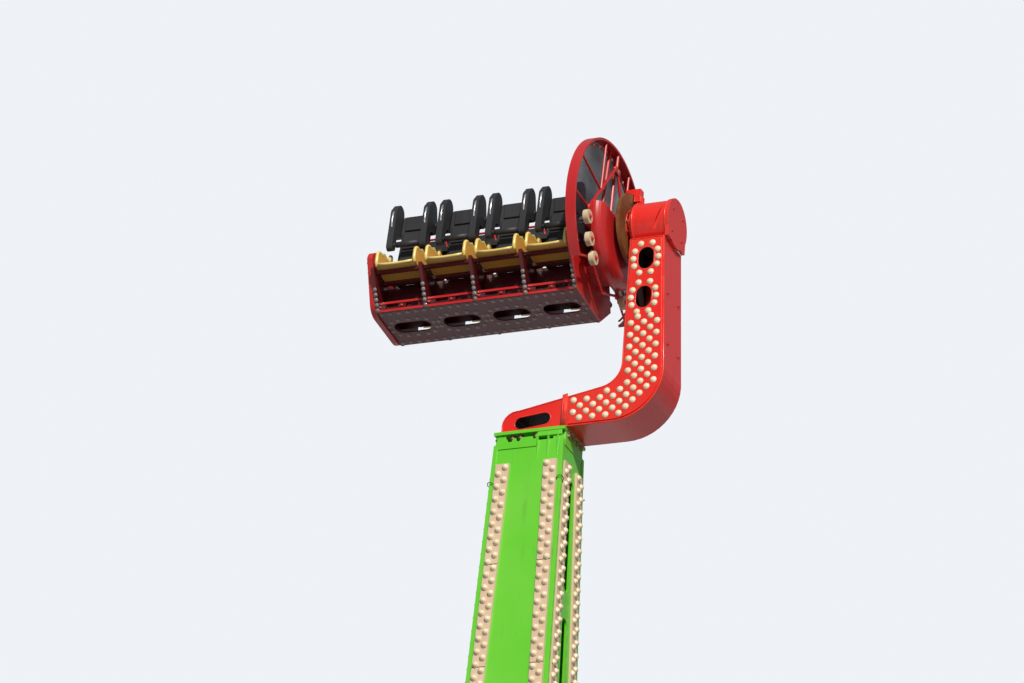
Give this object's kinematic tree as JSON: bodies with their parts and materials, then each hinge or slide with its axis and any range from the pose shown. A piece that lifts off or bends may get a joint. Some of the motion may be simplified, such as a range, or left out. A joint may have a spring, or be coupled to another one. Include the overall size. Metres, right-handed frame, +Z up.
{
  "type": "rotating arm fairground ride",
  "caption": "Fairground ride with a long arm that turns on a mast and carries a spinning seat gondola in a bent yoke at each end.",
  "frame": {"origin": "on the ground at the centre of the base frame", "axes": "+Z up, X along the arm's axis with the mast at +X, the arm turns in the YZ plane"},
  "size_m": [8.4, 9, 27.7099],
  "materials": {
    "base_steel": "satin grey paint",
    "mast_green": "gloss lime green paint",
    "arm_green": "gloss lime green paint",
    "light_strip": "cream moulded strips with lamps",
    "yoke_red": "gloss red paint",
    "yoke_panel": "gloss red paint with lamps",
    "hull_crimson": "gloss dark red paint",
    "gondola_red": "gloss red paint",
    "seat_amber": "moulded amber plastic",
    "seat_black": "black foam skin",
    "restraint_black": "black foam skin",
    "net_black": "dark mesh",
    "roller_cream": "cream polymer",
    "brake_steel": "brown rusted steel",
    "motor_grey": "grey paint"
  },
  "bodies": {
    "root": {"base_frame": "base_steel", "base_feet": "base_steel", "mast": "mast_green", "mast_braces": "mast_green", "hub_housing": "yoke_red", "drive_motors": "motor_grey"},
    "arm": {"arm_hub": "arm_green", "upper_arm": "arm_green", "upper_light_strips": "light_strip", "upper_yoke": "yoke_red", "upper_yoke_panels": "yoke_panel", "upper_spindle_housing": "yoke_red", "lower_arm": "arm_green", "lower_light_strips": "light_strip", "lower_yoke": "yoke_red", "lower_yoke_panels": "yoke_panel", "lower_spindle_housing": "yoke_red"},
    "upper_gondola": {"upper_hull": "hull_crimson", "upper_end_shell": "gondola_red", "upper_end_casing": "gondola_red", "upper_seat_shells": "seat_amber", "upper_seat_backs": "seat_black", "upper_end_wheel": "gondola_red", "upper_wheel_net": "net_black", "upper_rollers": "roller_cream", "upper_spindle": "brake_steel"},
    "upper_front_bars": {"upper_front_restraints": "restraint_black"},
    "upper_rear_bars": {"upper_rear_restraints": "restraint_black"},
    "lower_gondola": {"lower_hull": "hull_crimson", "lower_end_shell": "gondola_red", "lower_end_casing": "gondola_red", "lower_seat_shells": "seat_amber", "lower_seat_backs": "seat_black", "lower_end_wheel": "gondola_red", "lower_wheel_net": "net_black", "lower_rollers": "roller_cream", "lower_spindle": "brake_steel"},
    "lower_front_bars": {"lower_front_restraints": "restraint_black"},
    "lower_rear_bars": {"lower_rear_restraints": "restraint_black"}
  },
  "joints": [
    {"name": "arm_spin", "type": "hinge", "parent": "root", "child": "arm", "pos_m": [-1.2, 0, 14.3], "axis": [1, 0, 0], "continuous": true},
    {"name": "upper_gondola_spin", "type": "hinge", "parent": "arm", "child": "upper_gondola", "pos_m": [-1.2, 0, 26.68], "axis": [1, 0, 0], "continuous": true},
    {"name": "upper_front_restraints_lift", "type": "hinge", "parent": "upper_gondola", "child": "upper_front_bars", "pos_m": [-1.88, -0.21124, 26.91839], "axis": [1, 0, 0], "range_deg": [-60, 0]},
    {"name": "upper_rear_restraints_lift", "type": "hinge", "parent": "upper_gondola", "child": "upper_rear_bars", "pos_m": [-1.88, 0.25619, 26.86926], "axis": [1, 0, 0], "range_deg": [0, 60]},
    {"name": "lower_gondola_spin", "type": "hinge", "parent": "arm", "child": "lower_gondola", "pos_m": [-1.2, 0, 1.92], "axis": [1, 0, 0], "continuous": true},
    {"name": "lower_front_restraints_lift", "type": "hinge", "parent": "lower_gondola", "child": "lower_front_bars", "pos_m": [-1.88, -0.235, 2.135], "axis": [1, 0, 0], "range_deg": [-60, 0]},
    {"name": "lower_rear_restraints_lift", "type": "hinge", "parent": "lower_gondola", "child": "lower_rear_bars", "pos_m": [-1.88, 0.235, 2.135], "axis": [1, 0, 0], "range_deg": [0, 60]}
  ]
}
